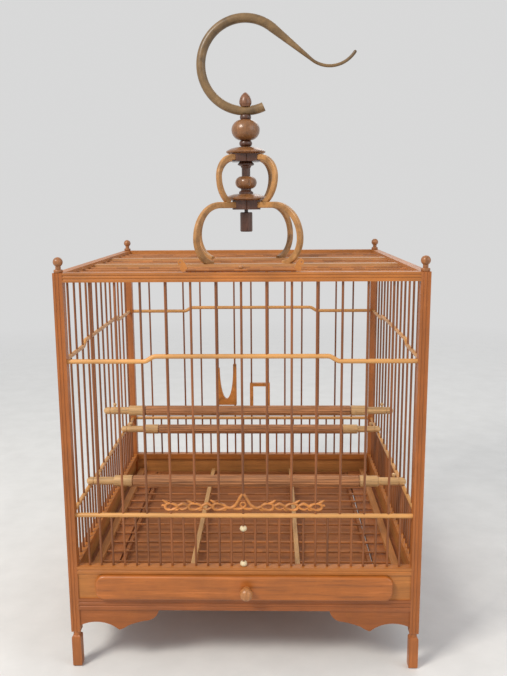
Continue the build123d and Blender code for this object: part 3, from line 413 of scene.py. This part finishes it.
EYE_HALF_HEIGHT = 4.8       # from the rail's underside to the middle of its eyes, in mm
EYE_DEPTH = 1.45            # depth over width of an eye's section
EYE_POINTS = 48             # points round an eye
STROKE_DEPTH = 1.15         # depth over width of a stroke's section
rail_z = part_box("door_carved_rail")[0].z + EYE_HALF_HEIGHT * MM
dice = random.Random(7)


def vine_stroke(points):
    """Tapering carved stroke; points are (x, z, radius, depth offset) in mm from the rail's middle."""
    rows = [(x * MM, front_y + dy * MM, rail_z + z * MM, r * MM) for x, z, r, dy in points]
    path, radii = smooth_path(rows)
    return tube_rings(path, radii, STROKE_DEPTH)


def carved_vine():
    """All strokes of the carved rail."""
    step = bar_pitch / MM
    lots = []
    for k in (-6, -4, -2, 2, 4, 6):
        x0 = k * step
        way = 1 if k > 0 else -1
        ring = []
        radii = []
        wide = 6.5 + dice.uniform(-0.5, 0.4)
        tall = 3.4 + dice.uniform(-0.2, 0.2)
        for n in range(EYE_POINTS):
            t = 2 * math.pi * n / EYE_POINTS
            x = x0 + wide * math.cos(t) * (1 + 0.08 * math.cos(t + 0.6))
            z = tall * math.sin(t) + 0.5 * math.sin(2 * t) * way
            ring.append(Vector((x * MM, front_y, rail_z + z * MM)))
            radii.append((1.05 + 0.35 * abs(math.cos(t)) + 0.12 * math.sin(3 * t + k)) * MM)
        lots.append(tube_rings(ring, radii, EYE_DEPTH, closed=True))
        lots.append(vine_stroke([
            (x0 + way * 2.0, 3.2, 0.9, 0), (x0 + way * 5.2, 4.6, 1.25, 0.3),
            (x0 + way * 7.6, 6.2, 0.85, 0.3), (x0 + way * 8.8, 7.0, 0.25, 0.2),
        ]))
        lots.append(vine_stroke([
            (x0 - way * 3.0, -3.4, 0.8, 0), (x0 - way * 6.2, -3.2, 1.1, -0.3), (x0 - way * 8.6, -1.6, 0.4, 0),
        ]))
    for way in (-1, 1):
        for k in (2, 4):
            x0 = k * step
            lots.append(vine_stroke([
                (way * (x0 + 6.0), 0.0, 1.4, 0), (way * (x0 + 9.0), 1.6, 1.3, 0.4),
                (way * (x0 + step), 2.8, 1.5, 0.5), (way * (x0 + step + 3.4), 1.6, 1.3, 0.2),
                (way * (x0 + 2 * step - 6.0), 0.0, 1.4, 0),
            ]))
            lots.append(vine_stroke([
                (way * (x0 + 6.4), 0.4, 0.8, 0), (way * (x0 + 9.4), -1.9, 1.0, -0.4),
                (way * (x0 + step + 1.0), -3.0, 0.9, -0.4), (way * (x0 + step + 4.0), -1.6, 0.5, 0),
                (way * (x0 + 2 * step - 6.2), -0.4, 0.7, 0),
            ]))
        lots.append(vine_stroke([
            (way * 18.4, 0.0, 1.4, 0), (way * 13.4, -1.4, 1.5, 0), (way * 8.6, 0.8, 1.5, 0.2),
            (way * 5.2, 5.6, 1.4, 0.3), (way * 2.6, 10.4, 1.5, 0.2), (way * 0.2, 13.4, 1.2, 0),
        ]))
        lots.append(vine_stroke([
            (way * 12.0, -1.0, 1.2, 0), (way * 6.0, -2.6, 1.3, 0.1), (way * 0.6, -1.6, 1.3, 0.2),
            (way * -2.6, 1.4, 1.0, 0.2), (way * -1.6, 4.2, 0.8, 0.1), (way * 0.8, 4.0, 0.5, 0),
        ]))
        lots.append(vine_stroke([
            (way * 78.6, 0.4, 1.3, 0), (way * 81.6, 1.4, 0.9, 0.2), (way * 82.4, 0.0, 0.4, 0),
        ]))
    return lots


build("carved_vine", carved_vine(), LOOKS["carved_bamboo"], "door", ["door_carved_rail"])


# Camera, light and floor

CAMERA_PLACE = (0.0285666, -0.8748084, 0.4759320)
CAMERA_YAW = -0.0238765431
CAMERA_PITCH = 0.177207635  # downwards
CAMERA_ROLL = -0.00674762263
FOCAL_PIXELS = 743.38       # focal length in pixels of the photograph
PHOTO_HEIGHT = 676          # pixels
SENSOR_HEIGHT = 36.0        # mm


def add_camera():
    """Plain camera at the photograph's viewing angle."""
    yaw, pitch, roll = CAMERA_YAW, CAMERA_PITCH, CAMERA_ROLL
    ahead = Vector((math.sin(yaw) * math.cos(pitch), math.cos(yaw) * math.cos(pitch), -math.sin(pitch)))
    right = Vector((math.cos(yaw), -math.sin(yaw), 0))
    up = right.cross(ahead)
    right, up = (right * math.cos(roll) + up * math.sin(roll), up * math.cos(roll) - right * math.sin(roll))
    data = bpy.data.cameras.new("camera")
    data.sensor_fit = "VERTICAL"
    data.sensor_height = SENSOR_HEIGHT
    data.lens = FOCAL_PIXELS / PHOTO_HEIGHT * SENSOR_HEIGHT
    data.clip_start = 0.02
    obj = bpy.data.objects.new("camera", data)
    turn = Matrix((right, up, -ahead)).transposed().to_4x4()
    obj.matrix_world = Matrix.Translation(CAMERA_PLACE) @ turn
    bpy.context.scene.collection.objects.link(obj)
    bpy.context.scene.camera = obj


def add_area(name, place, target, size, power, colour):
    """Soft square lamp aimed at a point."""
    data = bpy.data.lights.new(name, "AREA")
    data.size = size
    data.energy = power
    data.color = colour
    obj = bpy.data.objects.new(name, data)
    obj.location = place
    aim = Vector(target) - Vector(place)
    obj.rotation_euler = aim.to_track_quat("-Z", "Y").to_euler()
    bpy.context.scene.collection.objects.link(obj)


BACKDROP = (0.69, 0.69, 0.69, 1)
SKY = (0.97, 0.98, 1.0, 1)
SKY_POWER = 0.62


def add_world():
    """Pale backdrop for the eye, an even soft light for the pieces."""
    world = bpy.data.worlds.new("world")
    bpy.context.scene.world = world
    world.use_nodes = True
    tree = world.node_tree
    tree.nodes.clear()
    rays = tree.nodes.new("ShaderNodeLightPath")
    seen = tree.nodes.new("ShaderNodeBackground")
    seen.inputs["Color"].default_value = BACKDROP
    seen.inputs["Strength"].default_value = 1.0
    lit = tree.nodes.new("ShaderNodeBackground")
    lit.inputs["Color"].default_value = SKY
    lit.inputs["Strength"].default_value = SKY_POWER
    mix = tree.nodes.new("ShaderNodeMixShader")
    out = tree.nodes.new("ShaderNodeOutputWorld")
    eye = tree.nodes.new("ShaderNodeMath")
    eye.operation = "MAXIMUM"
    tree.links.new(rays.outputs["Is Camera Ray"], eye.inputs[0])
    tree.links.new(rays.outputs["Is Glossy Ray"], eye.inputs[1])
    through = tree.nodes.new("ShaderNodeMath")
    through.operation = "MAXIMUM"
    tree.links.new(eye.outputs[0], through.inputs[0])
    tree.links.new(rays.outputs["Is Transmission Ray"], through.inputs[1])
    tree.links.new(through.outputs[0], mix.inputs[0])
    tree.links.new(lit.outputs[0], mix.inputs[1])
    tree.links.new(seen.outputs[0], mix.inputs[2])
    tree.links.new(mix.outputs[0], out.inputs["Surface"])


FLOOR_REACH = 3.0           # half the floor's side, in metres
FLOOR_DROP = 0.0002         # keeps the floor clear of the feet, in metres
FADE_FROM = 700.0           # distances from the middle over which the floor fades out, in mm
FADE_TO = 2200.0


def add_floor():
    """Wide matte floor with a faint grain, clear far from the cage."""
    s = Shader("floor")
    speck = s.noise(s.place, 0.02, 5.0, 0.6)
    tone = s.ramp(speck, [(0.3, (0.7, 0.7, 0.69)), (0.7, (0.76, 0.76, 0.75))])
    s.put(s.surface.inputs["Base Color"], tone)
    s.put(s.surface.inputs["Roughness"], 0.9)
    s.put(s.surface.inputs["Specular IOR Level"], 0.1)
    away = s.vector("LENGTH", s.place)
    clear = s.add("ShaderNodeBsdfTransparent")
    fade = s.add("ShaderNodeMixShader")
    s.put(fade.inputs[0], s.level(away, FADE_FROM, FADE_TO))
    s.put(fade.inputs[1], s.surface.outputs["BSDF"])
    s.put(fade.inputs[2], clear.outputs["BSDF"])
    s.put(s.out.inputs["Surface"], fade.outputs["Shader"])
    corners = [(x * FLOOR_REACH, y * FLOOR_REACH, 0) for x, y in ((-1, -1), (1, -1), (1, 1), (-1, 1))]
    mesh = bpy.data.meshes.new("floor")
    mesh.from_pydata(corners, [], [(0, 1, 2, 3)])
    mesh.materials.append(s.material)
    obj = bpy.data.objects.new("floor", mesh)
    bpy.context.scene.collection.objects.link(obj)
    obj.location.z = -FLOOR_DROP


add_camera()
add_area("key", place=(-1.1, -1.2, 1.7), target=(0, 0, 0.3), size=0.6, power=34, colour=(1.0, 0.95, 0.87))
add_area("fill", place=(1.4, -0.9, 1.0), target=(0, 0, 0.3), size=1.2, power=6, colour=(0.95, 0.97, 1.0))
add_area("back", place=(0.5, 1.5, 1.5), target=(0, 0, 0.4), size=1.0, power=5, colour=(1, 1, 1))
add_world()
add_floor()
bpy.context.scene.view_settings.view_transform = "Standard"
